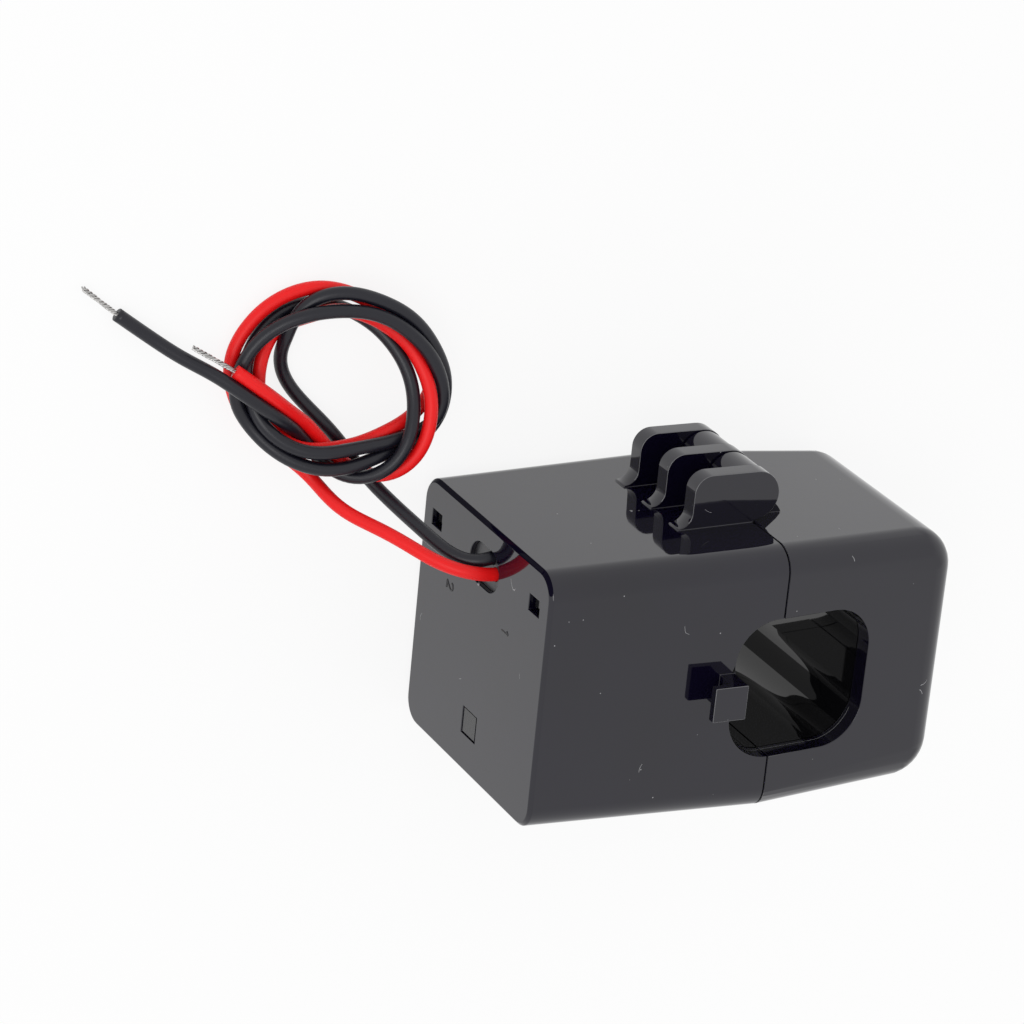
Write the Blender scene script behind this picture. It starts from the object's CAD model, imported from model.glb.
import math

import bmesh
import bpy
import numpy as np
from mathutils import Matrix, Vector


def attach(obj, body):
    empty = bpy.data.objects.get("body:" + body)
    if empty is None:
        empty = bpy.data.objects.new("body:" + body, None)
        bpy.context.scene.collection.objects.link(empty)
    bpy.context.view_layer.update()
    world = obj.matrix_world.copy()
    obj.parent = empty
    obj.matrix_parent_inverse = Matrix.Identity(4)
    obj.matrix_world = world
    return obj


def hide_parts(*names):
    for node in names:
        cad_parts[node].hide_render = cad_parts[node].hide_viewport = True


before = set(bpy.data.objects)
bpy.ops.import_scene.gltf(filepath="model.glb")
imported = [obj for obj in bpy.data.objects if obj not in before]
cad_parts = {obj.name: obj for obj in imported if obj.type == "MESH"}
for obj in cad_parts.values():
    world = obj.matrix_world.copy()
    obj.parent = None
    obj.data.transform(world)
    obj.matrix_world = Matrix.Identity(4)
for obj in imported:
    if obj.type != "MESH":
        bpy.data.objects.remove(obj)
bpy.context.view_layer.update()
mm = 0.001
print("frame loaded:", len(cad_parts), "nodes")


def newMaterial(name, color, roughness, metallic=0.0, ior=1.5):
    mat = bpy.data.materials.new(name)
    mat.use_nodes = True
    shader = mat.node_tree.nodes["Principled BSDF"]
    shader.inputs["Base Color"].default_value = (*color, 1.0)
    shader.inputs["Roughness"].default_value = roughness
    shader.inputs["Metallic"].default_value = metallic
    shader.inputs["IOR"].default_value = ior
    return mat, mat.node_tree, shader


def addNode(tree, kind, inputs=(), **values):
    node = tree.nodes.new(kind)
    for key, value in values.items():
        setattr(node, key, value)
    for key, value in dict(inputs).items():
        if isinstance(value, bpy.types.NodeSocket):
            tree.links.new(value, node.inputs[key])
        else:
            node.inputs[key].default_value = value
    return node


def ramp(tree, value, stops):
    node = tree.nodes.new("ShaderNodeValToRGB")
    elements = node.color_ramp.elements
    while len(elements) < len(stops):
        elements.new(0.5)
    for element, (place, color) in zip(elements, stops):
        element.position = place
        element.color = (*color, 1.0) if len(color) == 3 else color
    tree.links.new(value, node.inputs["Fac"])
    return node.outputs["Color"]


def math2(tree, operation, first, second=0.0, third=0.0):
    return addNode(tree, "ShaderNodeMath", {0: first, 1: second, 2: third}, operation=operation).outputs[0]


# Glossy moulding: roughness that drifts, a faint orange peel.
# spread is a function that adds the piece's own marks as (colour, roughness, specular) sockets.
def mouldedPlastic(name, color, roughness, peel=0.015, ior=1.5, spread=None):
    mat, tree, shader = newMaterial(name, color, roughness, ior=ior)
    place = addNode(tree, "ShaderNodeTexCoord").outputs["Object"]
    drift = addNode(tree, "ShaderNodeTexNoise", {"Vector": place, "Scale": 70.0, "Detail": 4.0})
    rough = addNode(tree, "ShaderNodeMapRange",
                    {"Value": drift.outputs["Fac"], "From Min": 0.3, "From Max": 0.7,
                     "To Min": roughness * 0.7, "To Max": roughness * 1.4}).outputs["Result"]
    base = ramp(tree, drift.outputs["Fac"],
                [(0.3, tuple(c * 0.85 for c in color)), (0.7, tuple(c * 1.2 for c in color))])
    if spread:
        base, rough, shine = spread(tree, place, base, rough)
        tree.links.new(shine, shader.inputs["Specular IOR Level"])
    tree.links.new(base, shader.inputs["Base Color"])
    tree.links.new(rough, shader.inputs["Roughness"])
    fine = addNode(tree, "ShaderNodeTexNoise", {"Vector": place, "Scale": 500.0, "Detail": 2.0})
    bump = addNode(tree, "ShaderNodeBump", {"Height": fine.outputs["Fac"], "Strength": peel, "Distance": 0.0002})
    tree.links.new(bump.outputs["Normal"], shader.inputs["Normal"])
    return mat


marks = {
    "speckShare": 0.22,            # of the 1.4 mm cells that may hold a speck
    "speckSize": (0.035, 0.06),    # in cells
    "hairWidth": 0.003, "hairShare": 0.77,
    "paint": (0.3, 0.3, 0.31, 1.0),
    "paintRough": 0.5,
    "shine": 0.5,                  # specular level away from any mark
    "corner": (3.3, -2.9, 4.7),    # middle and radius of the window's far corner
    "cornerReach": 0.25,
    "dull": (0.555, 0.235),        # radians round it, middle and half width
    "dullShine": -0.42,
    "seam": (28.28, -0.1, 0.055),  # height, fall along X and half width of the seam in the window
    "seamPlace": ((-6.3, 1.7), (1.7, 6.5)),  # middle and half length along Y and X
    "seamPaint": 0.45,
    "worn": (0.62, 0.3),           # share of +Z in the normal, middle and half width
    "wornFrom": (15.3, 33.0),      # above this on the ears, beyond this on the hook
    "wornPaint": 0.4,
    "leadEdge": (0.16, -28.4),     # least turn of the normal and furthest X
    "leadShine": -0.48,
}


def threeAxes(tree, place):
    axis = addNode(tree, "ShaderNodeSeparateXYZ", {0: place}).outputs
    return [math2(tree, "MULTIPLY", axis[i], 1000.0) for i in range(3)]


# A dull band in the window: angle round the corner's middle, on its radius only.
def linerMarks(tree, place, base, rough):
    x, y, z = threeAxes(tree, place)
    u, v = math2(tree, "SUBTRACT", x, marks["corner"][0]), math2(tree, "SUBTRACT", marks["corner"][1], y)
    turned = math2(tree, "COMPARE", math2(tree, "ARCTAN2", v, u), *marks["dull"])
    far = math2(tree, "SQRT", math2(tree, "MULTIPLY_ADD", u, u, math2(tree, "MULTIPLY", v, v)))
    dull = math2(tree, "MULTIPLY", turned, math2(tree, "COMPARE", far, marks["corner"][2], marks["cornerReach"]))
    return base, rough, math2(tree, "MULTIPLY_ADD", dull, marks["dullShine"], marks["shine"])


# Dust and hairs, a seam in the window, worn edges on ears and hook, and a dark edge at the lead end.
def housingMarks(tree, place, base, rough):
    x, y, z = threeAxes(tree, place)
    facing = addNode(tree, "ShaderNodeSeparateXYZ",
                     {0: addNode(tree, "ShaderNodeTexCoord").outputs["Normal"]}).outputs
    cells = addNode(tree, "ShaderNodeTexVoronoi", {"Vector": place, "Scale": 700.0, "Randomness": 1.0})
    split = addNode(tree, "ShaderNodeSeparateColor", {"Color": cells.outputs["Color"]})
    chosen = math2(tree, "GREATER_THAN", split.outputs["Red"], 1 - marks["speckShare"])
    middle = addNode(tree, "ShaderNodeMapRange",
                     {"Value": cells.outputs["Distance"], "From Min": marks["speckSize"][0],
                      "From Max": marks["speckSize"][1], "To Min": 1.0, "To Max": 0.0})
    speck = math2(tree, "MULTIPLY", chosen, middle.outputs["Result"])
    # hairs: level lines of one noise, kept only where another noise is high
    bends = addNode(tree, "ShaderNodeTexNoise", {"Vector": place, "Scale": 260.0, "Detail": 1.0})
    level = math2(tree, "COMPARE", bends.outputs["Fac"], 0.5, marks["hairWidth"])
    patches = addNode(tree, "ShaderNodeTexNoise", {"Vector": place, "Scale": 340.0, "Detail": 0.0})
    rare = math2(tree, "GREATER_THAN", patches.outputs["Fac"], marks["hairShare"])
    pale = math2(tree, "MAXIMUM", speck, math2(tree, "MULTIPLY", level, rare))
    # seam: |z - fall x - height| small on the window's wall
    height = math2(tree, "MULTIPLY_ADD", x, -marks["seam"][1], z)
    seam = math2(tree, "COMPARE", height, marks["seam"][0], marks["seam"][2])
    for axis, place in zip((y, x), marks["seamPlace"]):
        seam = math2(tree, "MULTIPLY", seam, math2(tree, "COMPARE", axis, *place))
    pale = math2(tree, "MAXIMUM", pale, math2(tree, "MULTIPLY", seam, marks["seamPaint"]))
    # worn edges: normal leaning out of the front, above the hinge side or on the hook
    lean = math2(tree, "COMPARE", facing[2], *marks["worn"])
    onEar, onHook = (math2(tree, "GREATER_THAN", axis, least) for axis, least in zip((y, z), marks["wornFrom"]))
    worn = math2(tree, "MULTIPLY", lean, math2(tree, "MAXIMUM", onEar, onHook))
    pale = math2(tree, "MAXIMUM", pale, math2(tree, "MULTIPLY", worn, marks["wornPaint"]))
    # dark edge: normal between -X and +Y at the lead end
    turned = math2(tree, "MULTIPLY", math2(tree, "MULTIPLY", facing[0], -1.0), facing[1])
    turned = math2(tree, "GREATER_THAN", turned, marks["leadEdge"][0])
    edge = math2(tree, "MULTIPLY", turned, math2(tree, "LESS_THAN", x, marks["leadEdge"][1]))
    shine = math2(tree, "MULTIPLY_ADD", edge, marks["leadShine"], marks["shine"])
    mixed = addNode(tree, "ShaderNodeMix", {0: pale, 6: base, 7: marks["paint"]}, data_type="RGBA")
    return mixed.outputs[2], math2(tree, "MULTIPLY_ADD", pale, marks["paintRough"], rough), shine


# Extruded PVC: long faint die lines along the wire and a satin surface.
def wireSkin(name, color, roughness, shine):
    mat, tree, shader = newMaterial(name, color, roughness)
    shader.inputs["Specular IOR Level"].default_value = shine
    uv = addNode(tree, "ShaderNodeUVMap", uv_map="along")
    stretch = addNode(tree, "ShaderNodeMapping", {"Vector": uv.outputs["UV"], "Scale": (12.0, 60.0, 1.0)})
    lines = addNode(tree, "ShaderNodeTexNoise", {"Vector": stretch.outputs["Vector"], "Scale": 3.0, "Detail": 3.0})
    base = ramp(tree, lines.outputs["Fac"],
                [(0.25, tuple(c * 0.82 for c in color)), (0.75, tuple(min(c * 1.15, 1.0) for c in color))])
    tree.links.new(base, shader.inputs["Base Color"])
    rough = addNode(tree, "ShaderNodeMapRange",
                    {"Value": lines.outputs["Fac"], "To Min": roughness * 0.8, "To Max": roughness * 1.3})
    tree.links.new(rough.outputs["Result"], shader.inputs["Roughness"])
    bump = addNode(tree, "ShaderNodeBump", {"Height": lines.outputs["Fac"], "Strength": 0.12, "Distance": 0.0001})
    tree.links.new(bump.outputs["Normal"], shader.inputs["Normal"])
    return mat


def brushedMetal(name, color, roughness, scale=(900.0, 40.0, 900.0)):
    mat, tree, shader = newMaterial(name, color, roughness, metallic=1.0)
    place = addNode(tree, "ShaderNodeTexCoord").outputs["Object"]
    stretch = addNode(tree, "ShaderNodeMapping", {"Vector": place, "Scale": scale})
    grain = addNode(tree, "ShaderNodeTexNoise", {"Vector": stretch.outputs["Vector"], "Scale": 1.0, "Detail": 3.0})
    base = ramp(tree, grain.outputs["Fac"],
                [(0.3, tuple(c * 0.75 for c in color)), (0.7, color)])
    tree.links.new(base, shader.inputs["Base Color"])
    bump = addNode(tree, "ShaderNodeBump", {"Height": grain.outputs["Fac"], "Strength": 0.15, "Distance": 0.0001})
    tree.links.new(bump.outputs["Normal"], shader.inputs["Normal"])
    return mat


finishes = {
    "housing": mouldedPlastic("housingGloss", (0.003, 0.0022, 0.0088), 0.035, ior=1.555, spread=housingMarks),
    "liner": mouldedPlastic("linerGloss", (0.003, 0.003, 0.004), 0.03, peel=0.0, spread=linerMarks),
    "bobbin": mouldedPlastic("bobbinNylon", (0.012, 0.012, 0.014), 0.22),
    "bush": mouldedPlastic("bushRubber", (0.022, 0.022, 0.026), 0.3, peel=0.05),
    "sleeveBlack": mouldedPlastic("sleevingBlack", (0.02, 0.02, 0.022), 0.45, peel=0.05),
    "sleeveRed": mouldedPlastic("sleevingRed", (0.35, 0.01, 0.012), 0.45, peel=0.05),
    "tape": mouldedPlastic("windingTape", (0.62, 0.42, 0.06), 0.35),
    "core": brushedMetal("coreSteel", (0.42, 0.43, 0.45), 0.38),
    "copper": brushedMetal("windingCopper", (0.72, 0.3, 0.14), 0.3, (200.0, 9000.0, 200.0)),
    "spring": brushedMetal("springSteel", (0.6, 0.61, 0.63), 0.25, (200.0, 900.0, 200.0)),
    "pin": brushedMetal("pinSteel", (0.62, 0.63, 0.65), 0.25, (400.0, 400.0, 60.0)),
    "tin": brushedMetal("tinnedStrand", (0.55, 0.54, 0.53), 0.2, (600.0, 600.0, 600.0)),
    "wireBlack": wireSkin("wireBlack", (0.007, 0.007, 0.013), 0.3, 0.4),
    "wireRed": wireSkin("wireRed", (0.88, 0.007, 0.008), 0.38, 0.3),
}
print("finishes ready:", len(finishes))


# Points in millimetres and faces as index rows go into a new mesh object at the origin.
def meshPiece(name, points, faces, finish, uv=None):
    mesh = bpy.data.meshes.new(name)
    mesh.from_pydata((np.asarray(points, float) * mm).tolist(), [], [tuple(map(int, f)) for f in faces])
    mesh.update()
    mesh.polygons.foreach_set("use_smooth", [True] * len(mesh.polygons))
    if uv is not None:
        layer = mesh.uv_layers.new(name="along")
        corner = np.zeros(len(mesh.loops), int)
        mesh.loops.foreach_get("vertex_index", corner)
        layer.data.foreach_set("uv", np.asarray(uv, float)[corner].ravel())
    piece = bpy.data.objects.new(name, mesh)
    bpy.context.scene.collection.objects.link(piece)
    piece.data.materials.append(finishes[finish])
    return piece


# Several (points, faces) pairs as one, with the face numbers moved on.
def joined(parts):
    points, faces, start = [], [], 0
    for p, f in parts:
        points.append(np.asarray(p, float))
        faces += [tuple(int(i) + start for i in face) for face in f]
        start += len(p)
    return np.vstack(points), faces


# Round section at each point of the line: centre + r cos(a) side + r sin(a) up,
# where side and up turn with the line and never twist. Ends are flat fans.
def sweep(line, radius, sides, spin=0.0):
    line = np.asarray(line, float)
    along = np.gradient(line, axis=0)
    along /= np.linalg.norm(along, axis=1)[:, None]
    side = np.empty_like(line)
    start = np.cross(along[0], (0.1, 0.2, 1.0))
    side[0] = start / np.linalg.norm(start)
    for i in range(1, len(line)):
        turned = side[i - 1] - along[i] * (side[i - 1] @ along[i])
        side[i] = turned / np.linalg.norm(turned)
    up = np.cross(along, side)
    angle = spin + 2 * math.pi * np.arange(sides) / sides
    radius = np.broadcast_to(np.asarray(radius, float), (len(line),))
    rings = line[:, None] + radius[:, None, None] * (
        np.cos(angle)[None, :, None] * side[:, None] + np.sin(angle)[None, :, None] * up[:, None])
    points = np.vstack([rings.reshape(-1, 3), line[:1], line[-1:]])
    i, k = np.meshgrid(np.arange(len(line) - 1), np.arange(sides), indexing="ij")
    m = (k + 1) % sides
    quads = np.stack([i * sides + k, i * sides + m, (i + 1) * sides + m, (i + 1) * sides + k], -1).reshape(-1, 4)
    ring = np.arange(sides)
    first, last = len(points) - 2, len(points) - 1
    end = (len(line) - 1) * sides
    fans = [(first, (r + 1) % sides, r) for r in ring] + [(last, end + r, end + (r + 1) % sides) for r in ring]
    length = np.r_[0, np.cumsum(np.linalg.norm(np.diff(line, axis=0), axis=1))]
    uv = np.vstack([np.stack([np.repeat(length, sides) * mm * 10, np.tile(ring / sides, len(line))], 1),
                    [[0, 0]], [[length[-1] * mm * 10, 0]]])
    return points, [tuple(q) for q in quads] + fans, uv


leads = {
    "diameter": 1.5,
    "skin": 0.7,           # radius of the drawn wire
    "coilCentre": (-42.0, 26.2, 4.2),
    "coilTurn": -40.0,     # degrees about Z of the coil's high side
    "coilSlope": 14.0,     # degrees, the coil rests on its own leads
    "coilScale": 0.965,    # on the distances from the coil's middle
    "clear": 1.43,         # least distance between two strands' middles
    "floor": 0.72,         # least height of a wire's middle
    "steps": (1.0, 0.5),   # spacing of points while settling and in the drawn line
    "blackExit": (-29.0, 10.85, 15.86),
    "redExit": (-29.0, 9.4, 16.8),
}
turn, slope = math.radians(leads["coilTurn"]), math.radians(leads["coilSlope"])
coilX = np.array([math.cos(turn) * math.cos(slope), math.sin(turn) * math.cos(slope), math.sin(slope)])
coilY = np.array([-math.sin(turn), math.cos(turn), 0.0])
coilUp = np.cross(coilX, coilY)


# Rows of degrees round the coil, distance from its middle and height over its middle plane.
def coilPoints(rows):
    rows = np.array(rows, float)
    angle = np.radians(rows[:, 0])
    far = rows[:, 1] * leads["coilScale"]
    return (np.array(leads["coilCentre"]) + np.outer(far * np.cos(angle), coilX)
            + np.outer(far * np.sin(angle), coilY) + np.outer(rows[:, 2], coilUp))


blackRoute = np.vstack([
    [(-27.6, 10.85, 15.86), leads["blackExit"], (-30.1, 10.6, 15.7), (-31.4, 10.5, 15.1), (-32.5, 10.7, 14.1),
     (-33.5, 11.4, 12.8), (-34.6, 12.4, 11), (-35.3, 12.9, 9.2), (-36, 13.6, 7.7), (-36.7, 14.3, 6.3),
     (-37.6, 15.2, 4.9), (-39, 16.9, 3.7), (-40.6, 19.2, 2.6)],
    coilPoints([
        (-73, 4.3, -2.8), (-115, 4.2, -2.8), (-141, 5.2, -2.5), (-157, 6.1, -2.1), (-171, 7, -1.6), (-184, 7.95, -1),
        (-202, 8.9, 0.2), (-213, 9.4, 0.7), (-238, 9.6, 1), (-256, 9.5, 0.9), (-271, 9.9, 0.7), (-288, 10.3, 0.3),
        (-304, 10.7, -0.2), (-319, 11.4, -0.8), (-333, 11.8, -1.1), (-345, 11.7, -1.2), (-356, 10.8, -0.9),
        (-366, 9.6, -0.3), (-377, 8.9, 0.4), (-386, 8.7, 0.9), (-411, 8.9, 1.3), (-433, 9.2, 1.1), (-456, 9.6, 0.7),
        (-473, 9.9, 0.1), (-489, 10.2, 0), (-505, 10.6, 0.3), (-518, 10.4, 0.8), (-532, 9.8, 1), (-543, 9.2, 1.3),
        (-558, 8.6, 1.6), (-575, 8, 1.6), (-592, 7.8, 1.6), (-612, 8.1, 1.4), (-631, 8.5, 1.3), (-652, 9.2, 1.2),
        (-668, 10, 1), (-683, 10.9, 0.6), (-694, 11.3, 0.4), (-704, 11.2, 0), (-713, 10.2, -0.3), (-722, 8.8, 0.1),
        (-734, 7.7, 0.8), (-749, 6.9, 1.3), (-779, 7.1, 1.5), (-805, 8.1, 1.3), (-825, 8.9, 1), (-841, 9.7, 0.5),
        (-853, 10.1, 0), (-868, 10.1, -0.6), (-885, 9.7, -0.8), (-900, 9.2, -1.2), (-918, 8.6, -1.9), (-940, 8, -2.2),
        (-965, 7.2, -2), (-985, 6.9, -1.3), (-1006, 7.1, -0.6), (-1029, 7.3, 0), (-1049, 7.9, 0.6),
        (-1062, 8.3, 1.1), (-1078, 9.1, 1.8), (-1092, 9.9, 1.8), (-1105, 10.3, 1.2), (-1118, 10.3, 0.2),
        (-1128, 9.6, -0.7), (-1141, 7.8, -1.2), (-1159, 6.5, -0.7), (-1178, 6.4, 0.2), (-1194, 7, 1),
        (-1205, 8.1, 1.7), (-1214, 9.7, 2.2), (-1220, 11.1, 2.4), (-1227, 13.8, 2)]),
    [(-58.2, 29.3, 2.7), (-60.5, 30.8, 1.7), (-62.7, 32.3, 1.1), (-64.8, 33.8, 0.8)]])
redRoute = np.vstack([
    [(-27.6, 9.4, 16.8), leads["redExit"], (-29.9, 9.5, 16.8), (-31.2, 9.7, 16.8), (-32.7, 10, 16.3),
     (-34, 10.3, 15.4), (-35.2, 10.7, 14.3), (-36.6, 11.5, 12.9), (-38.1, 12.2, 11.2), (-39.6, 12.8, 9.5),
     (-41.2, 13.3, 7.9), (-42.6, 14.2, 6.3), (-43.5, 15.4, 4.9)],
    coilPoints([
        (-59, 11, -1.5), (-76, 9.6, -1.9), (-93, 9.5, -1.9), (-109, 9.9, -1.7), (-125, 10.5, -1.4), (-137, 11, -1),
        (-148, 11.5, -0.7), (-158, 11.6, -0.7), (-170, 11.3, -0.6), (-181, 11.2, -0.5), (-204, 10.6, -0.5),
        (-218, 10.2, -0.6), (-232, 9.5, -0.8), (-247, 9, -0.9), (-266, 8.7, -0.9), (-285, 9, -0.9), (-302, 9.8, -1),
        (-316, 10.6, -1.4), (-330, 10.2, -1.6), (-342, 9.3, -1.2), (-351, 8.5, -0.8), (-362, 7.8, -0.4),
        (-376, 7.2, -0.1), (-394, 6.8, 0.1), (-412, 6.8, 0.1), (-435, 7.2, 0), (-455, 7.9, -0.2), (-470, 8.4, -0.4),
        (-486, 8.5, -0.6), (-499, 8.4, -0.7), (-513, 8.4, -0.7), (-526, 8.5, -0.8), (-540, 8.5, -1),
        (-560, 8.1, -1.1), (-580, 7.7, -0.9), (-600, 7.5, -0.5), (-620, 7.5, -0.2), (-650, 8, 0), (-662, 8.5, 0.3),
        (-678, 9.2, 0.9), (-693, 9.8, 1.4), (-707, 10.4, 1.6), (-719, 11, 1.5), (-731, 11.3, 1), (-741, 11.2, 0.2),
        (-750, 10.7, -0.6), (-761, 9.3, -1.2), (-781, 7.4, -1.3), (-809, 6.1, -0.6), (-822, 6.3, 0.2),
        (-843, 7, 1.2), (-856, 8.3, 2), (-863, 9.7, 2.3), (-869, 11.7, 2.2)])])


def evenly(line, step):
    far = np.r_[0, np.cumsum(np.linalg.norm(np.diff(line, axis=0), axis=1))]
    places = np.linspace(0, far[-1], int(round(far[-1] / step)) + 1)
    return np.stack([np.interp(places, far, line[:, axis]) for axis in range(3)], 1)


# Natural cubic spline through the route, with its second derivative solved at every point.
def smoothLine(route, step):
    far = np.r_[0, np.cumsum(np.linalg.norm(np.diff(route, axis=0), axis=1))]
    gap, n = np.diff(far), len(far)
    system, right = np.eye(n), np.zeros((n, 3))
    inner = np.arange(1, n - 1)
    system[inner, inner - 1], system[inner, inner + 1] = gap[:-1], gap[1:]
    system[inner, inner] = 2 * (gap[:-1] + gap[1:])
    right[1:-1] = 6 * (np.diff(route, axis=0)[1:] / gap[1:, None] - np.diff(route, axis=0)[:-1] / gap[:-1, None])
    bend = np.linalg.solve(system, right)
    places = np.linspace(0, far[-1], int(far[-1] / step * 3))
    k = np.clip(np.searchsorted(far, places, side="right") - 1, 0, n - 2)
    width = gap[k][:, None]
    a = (far[k + 1] - places)[:, None] / width
    b = 1 - a
    curve = (a * route[k] + b * route[k + 1]
             + ((a ** 3 - a) * bend[k] + (b ** 3 - b) * bend[k + 1]) * width ** 2 / 6)
    return evenly(curve, step)


settling = {"rounds": 300, "push": 0.35, "keep": 0.015, "stiffness": 0.3, "pinned": 4, "neighbours": 4}


# Strands closer than one diameter push apart, bending stiffness smooths them,
# the route pulls them back a little and the floor holds them up.
def settle(lines):
    counts = [len(line) for line in lines]
    starts = np.r_[0, np.cumsum(counts)]
    points = np.vstack(lines)
    home = points.copy()
    number = np.concatenate([np.arange(n) + 1000 * i for i, n in enumerate(counts)])
    apart = np.abs(number[:, None] - number[None, :]) > settling["neighbours"]
    loose = np.ones((len(points), 1))
    for start in starts[:-1]:
        loose[start:start + settling["pinned"]] = 0
    for _ in range(settling["rounds"]):
        between = points[:, None] - points[None, :]
        far = np.linalg.norm(between, axis=2)
        share = (leads["clear"] - far) * settling["push"] / np.maximum(far, 1e-6)
        push = np.where(apart & (far < leads["clear"]), share, 0)
        move = (between * push[:, :, None]).sum(1) + settling["keep"] * (home - points)
        for a, b in zip(starts[:-1], starts[1:]):
            line = points[a:b]
            sag = np.zeros_like(line)
            sag[1:-1] = (line[:-2] + line[2:]) / 2 - line[1:-1]
            move[a + 2:b - 2] -= settling["stiffness"] * ((sag[1:-3] + sag[3:-1]) / 2 - sag[2:-2])
        points = points + move * loose
        points[:, 2] = np.maximum(points[:, 2], leads["floor"])
    return [points[a:b] for a, b in zip(starts[:-1], starts[1:])]


settled = settle([smoothLine(route, leads["steps"][0]) for route in (blackRoute, redRoute)])
blackLine, redLine = (smoothLine(line, leads["steps"][1]) for line in settled)


def wire(name, line, finish):
    points, faces, uv = sweep(line, leads["skin"], 20)
    piece = meshPiece(name, points, faces, finish, uv=uv)
    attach(piece, "body")
    return piece


strand = {"count": 7, "radius": 0.085, "ring": 0.165, "pitch": 2.1, "inside": 0.6, "points": 110,
          "wave": (0.18, 3.1, 1.7), "core": (0.06, 2.3), "flare": 0.13, "flareFrom": 0.75, "shorter": 0.03}


# Strand j runs round the straight axis: centre + ring (cos(a), sin(a)), a = 2 pi (x / pitch + j / 6),
# with one strand down the middle; near the tip the ring opens and each strand strays a little.
def twistedStrands(name, start, tip):
    start, tip = np.array(start, float), np.array(tip, float)
    length = np.linalg.norm(tip - start)
    axis = (tip - start) / length
    side = np.cross(axis, (0, 0, 1.0))
    side /= np.linalg.norm(side)
    up = np.cross(side, axis)
    x = np.linspace(-strand["inside"], length, strand["points"])
    wave, perLength, perStrand = strand["wave"]
    parts = []
    for j in range(strand["count"]):
        angle = 2 * math.pi * (x / strand["pitch"] + j / (strand["count"] - 1))
        out = strand["ring"] * (1 + wave * np.sin(perLength * x + perStrand * j))
        out = out + strand["flare"] * np.clip(x / length - strand["flareFrom"], 0, 1) * (j % 3)
        if j == strand["count"] - 1:
            out = strand["core"][0] * np.sin(strand["core"][1] * x)
        line = (start + np.outer(np.clip(x * (1 - strand["shorter"] * (j % 3)), -1, None), axis)
                + np.outer(out * np.cos(angle), side) + np.outer(out * np.sin(angle), up))
        line[:, 2] = np.maximum(line[:, 2], strand["radius"] + 0.01)
        points, faces, _ = sweep(line, strand["radius"], 8)
        parts.append((points, faces))
    points, faces = joined(parts)
    piece = meshPiece(name, points, faces, "tin")
    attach(piece, "body")
    return piece


blackWire = wire("black_wire", blackLine, "wireBlack")
redWire = wire("red_wire", redLine, "wireRed")
blackEnd = twistedStrands("black_wire_strands", blackLine[-1], (-68.6, 36.8, 0.8))
redEnd = twistedStrands("red_wire_strands", redLine[-1], (-57.7, 30.8, 3.4))
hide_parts("black_lead", "wire_coil", "black_tail")
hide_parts("red_lead", "wire_coil")
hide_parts("black_strands")
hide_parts("red_strands")


def lineLength(line):
    return float(np.linalg.norm(np.diff(line, axis=0), axis=1).sum())


for piece, line, end, leaves in ((blackWire, blackLine, blackEnd, "blackExit"), (redWire, redLine, redEnd, "redExit")):
    print(piece.name, "length", round(lineLength(line), 1), "mm")
print("leads laid")


refining = {"weld": 2e-6, "flat": 0.6, "bevel": 0.09, "segments": 2, "sharp": 32}  # metres, degrees, mm, -, degrees


# The CAD solid's own surface, welded, with its edges broken by a small radius.
def refinedCopy(node, name, body):
    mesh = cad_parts[node].data.copy()
    mesh.name = name
    mesh.materials.clear()
    work = bmesh.new()
    work.from_mesh(mesh)
    bmesh.ops.remove_doubles(work, verts=work.verts, dist=refining["weld"])
    bmesh.ops.dissolve_limit(work, angle_limit=math.radians(refining["flat"]), verts=work.verts, edges=work.edges)
    bmesh.ops.recalc_face_normals(work, faces=work.faces)
    for face in work.faces:
        face.smooth = True
    work.to_mesh(mesh)
    work.free()
    piece = bpy.data.objects.new(name, mesh)
    bpy.context.scene.collection.objects.link(piece)
    piece.data.materials.append(finishes["housing"])
    edge = piece.modifiers.new("edges", "BEVEL")
    edge.width = refining["bevel"] * mm
    edge.segments = refining["segments"]
    edge.limit_method = "ANGLE"
    edge.angle_limit = math.radians(refining["sharp"])
    edge.use_clamp_overlap = False
    flat = piece.modifiers.new("flatFaces", "WEIGHTED_NORMAL")
    flat.mode = "FACE_AREA"
    flat.weight = 100
    flat.keep_sharp = True
    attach(piece, body)
    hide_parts(node)


refinedCopy("body_shell", "body_housing", "body")
refinedCopy("jaw_shell", "jaw_housing", "jaw")

# Plain numerals beside the two lead slots: strokes in units of the height, x to the right and y up.
numerals = {
    "height": 1.45, "thick": 0.13, "turn": -90.0, "face": -29.46,
    "places": {"1": (4.9, 20.9), "2": (4.6, 8.1)},
    "strokes": {"1": [(-0.2, 0.3), (0.02, 0.5), (0.02, -0.5)],
                "2": [(-0.28, 0.28), (-0.2, 0.43), (0, 0.5), (0.2, 0.43), (0.28, 0.25), (0.2, 0.03), (-0.28, -0.5),
                      (0.3, -0.5)]},
}


# The stroke's points turned about the end face's normal and laid on the face: x = end + depth.
def numeralPiece():
    parts = []
    turned = math.radians(numerals["turn"])
    for digit, (y, z) in numerals["places"].items():
        flat = np.array(numerals["strokes"][digit]) * numerals["height"]
        across = flat[:, 0] * math.cos(turned) - flat[:, 1] * math.sin(turned)
        up = flat[:, 0] * math.sin(turned) + flat[:, 1] * math.cos(turned)
        line = np.stack([np.full(len(flat), numerals["face"]), y + up, z + across], 1)
        points, faces, _ = sweep(evenly(line, 0.08), numerals["thick"], 10)
        parts.append((points, faces))
    points, faces = joined(parts)
    piece = meshPiece("slot_numerals", points, faces, "sleeveBlack")
    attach(piece, "body")


numeralPiece()

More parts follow.
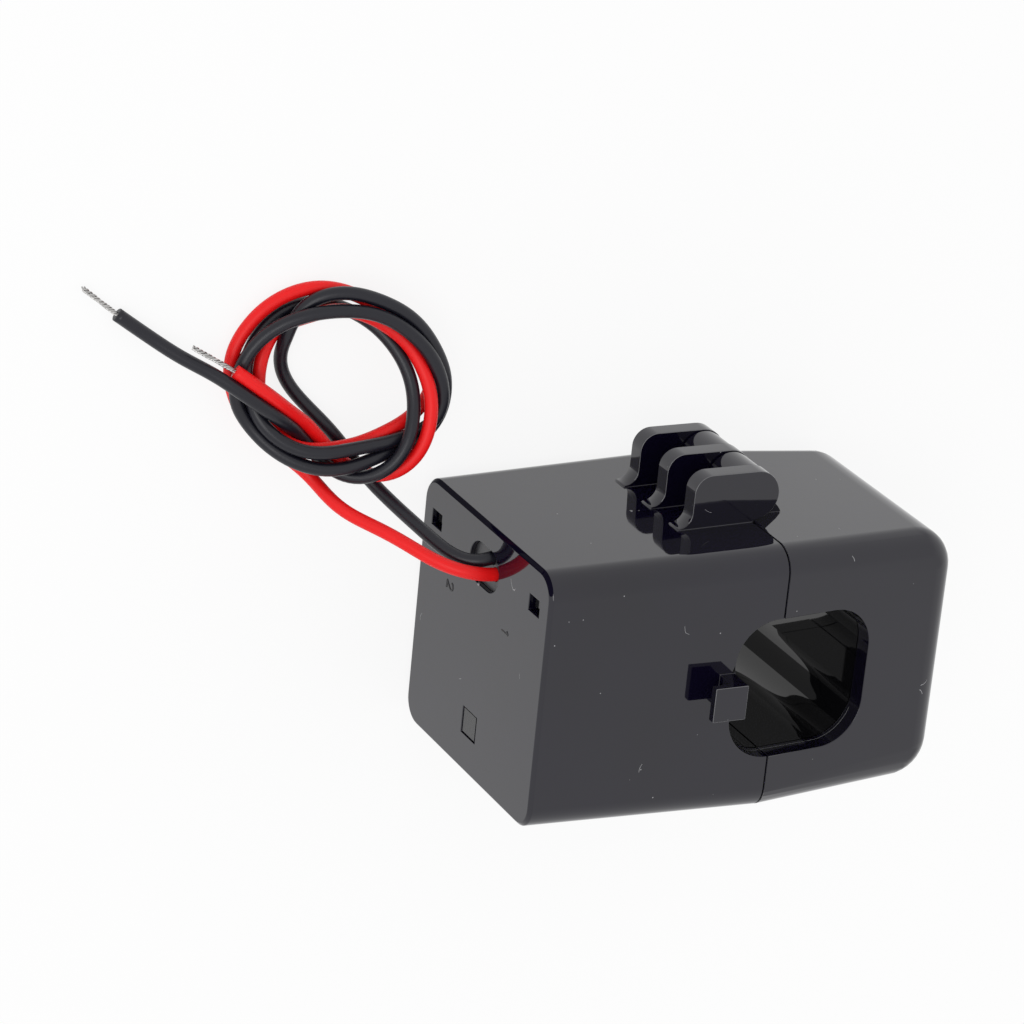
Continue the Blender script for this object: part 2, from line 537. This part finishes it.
carried = {
    "body_frame": "liner", "jaw_frame": "liner", "body_core": "core", "jaw_core": "core", "bobbin": "bobbin",
    "winding": "copper", "winding_ends": "copper", "winding_tape": "tape", "black_sleeve": "sleeveBlack",
    "red_sleeve": "sleeveRed", "cable_bush": "bush", "jaw_spring": "spring", "hinge_pin": "pin",
}
for node, finish in carried.items():
    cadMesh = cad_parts[node].data
    for slotNumber in range(max(len(cadMesh.materials), 1)):
        if len(cadMesh.materials) == 0:
            cadMesh.materials.append(finishes[finish])
        else:
            cadMesh.materials[slotNumber] = finishes[finish]
print("housing dressed")


stage = {"floorSize": 3.0, "floorColor": (0.93, 0.93, 0.93, 1.0), "background": 1.0, "shadowKept": 0.14, "room": 0.82}


# 1 where the camera, gloss or glass looks, 0 where light is gathered for a matt surface.
def lookedAt(tree):
    path = addNode(tree, "ShaderNodeLightPath").outputs
    seen = math2(tree, "MAXIMUM", path["Is Camera Ray"], path["Is Glossy Ray"])
    return math2(tree, "MAXIMUM", seen, path["Is Transmission Ray"])


def whiteFloor():
    mat = bpy.data.materials.new("paleFloor")
    mat.use_nodes = True
    tree = mat.node_tree
    tree.nodes.clear()
    out = addNode(tree, "ShaderNodeOutputMaterial")
    share = math2(tree, "MULTIPLY", lookedAt(tree), 1.0 - stage["shadowKept"])
    matte = addNode(tree, "ShaderNodeBsdfDiffuse", {"Color": stage["floorColor"]})
    glow = addNode(tree, "ShaderNodeEmission", {"Color": (1, 1, 1, 1), "Strength": stage["background"]})
    both = addNode(tree, "ShaderNodeMixShader", {0: share, 1: matte.outputs[0], 2: glow.outputs[0]})
    tree.links.new(both.outputs[0], out.inputs["Surface"])
    return mat


bpy.ops.mesh.primitive_plane_add(size=stage["floorSize"], location=(0, 0, -0.0001))
floor = bpy.context.object
floor.name = "pale_floor"
floor.data.materials.append(whiteFloor())

world = bpy.data.worlds.new("softStudio")
bpy.context.scene.world = world
world.use_nodes = True
airTree = world.node_tree
airTree.nodes.clear()
room = addNode(airTree, "ShaderNodeBackground", {"Color": (1, 1, 1, 1), "Strength": stage["room"]})
white = addNode(airTree, "ShaderNodeBackground", {"Color": (1, 1, 1, 1), "Strength": stage["background"]})
air = addNode(airTree, "ShaderNodeMixShader", {0: lookedAt(airTree), 1: room.outputs[0], 2: white.outputs[0]})
addNode(airTree, "ShaderNodeOutputWorld", {"Surface": air.outputs[0]})

keyLamp = {"place": (-0.45, 0.1, 0.65), "aim": (-0.02, 0.01, 0.01), "size": 0.4, "watts": 1.2}
lampData = bpy.data.lights.new("key", "AREA")
lampData.shape = "DISK"
lampData.size = keyLamp["size"]
lampData.energy = keyLamp["watts"]
lamp = bpy.data.objects.new("key", lampData)
bpy.context.scene.collection.objects.link(lamp)
lamp.location = keyLamp["place"]
lamp.rotation_euler = (Vector(keyLamp["aim"]) - Vector(keyLamp["place"])).to_track_quat("-Z", "Y").to_euler()

cameraPlan = {
    "place": (-0.22098, 0.18001, 0.38031),
    "right": (0.89596, 0.09211, 0.43448),
    "up": (0.08521, 0.92444, -0.37170),
    "forward": (0.43589, -0.37005, -0.82041),
    "lens": 156.62,
}
cameraData = bpy.data.cameras.new("productCamera")
cameraData.sensor_width = 36.0
cameraData.lens = cameraPlan["lens"]
cameraData.clip_start = 0.01
camera = bpy.data.objects.new("productCamera", cameraData)
bpy.context.scene.collection.objects.link(camera)
axes = Matrix([cameraPlan["right"], cameraPlan["up"], [-v for v in cameraPlan["forward"]]]).transposed()
camera.matrix_world = Matrix.Translation(cameraPlan["place"]) @ axes.to_4x4()
bpy.context.scene.camera = camera
bpy.context.scene.view_settings.view_transform = "Standard"
print("stage set")
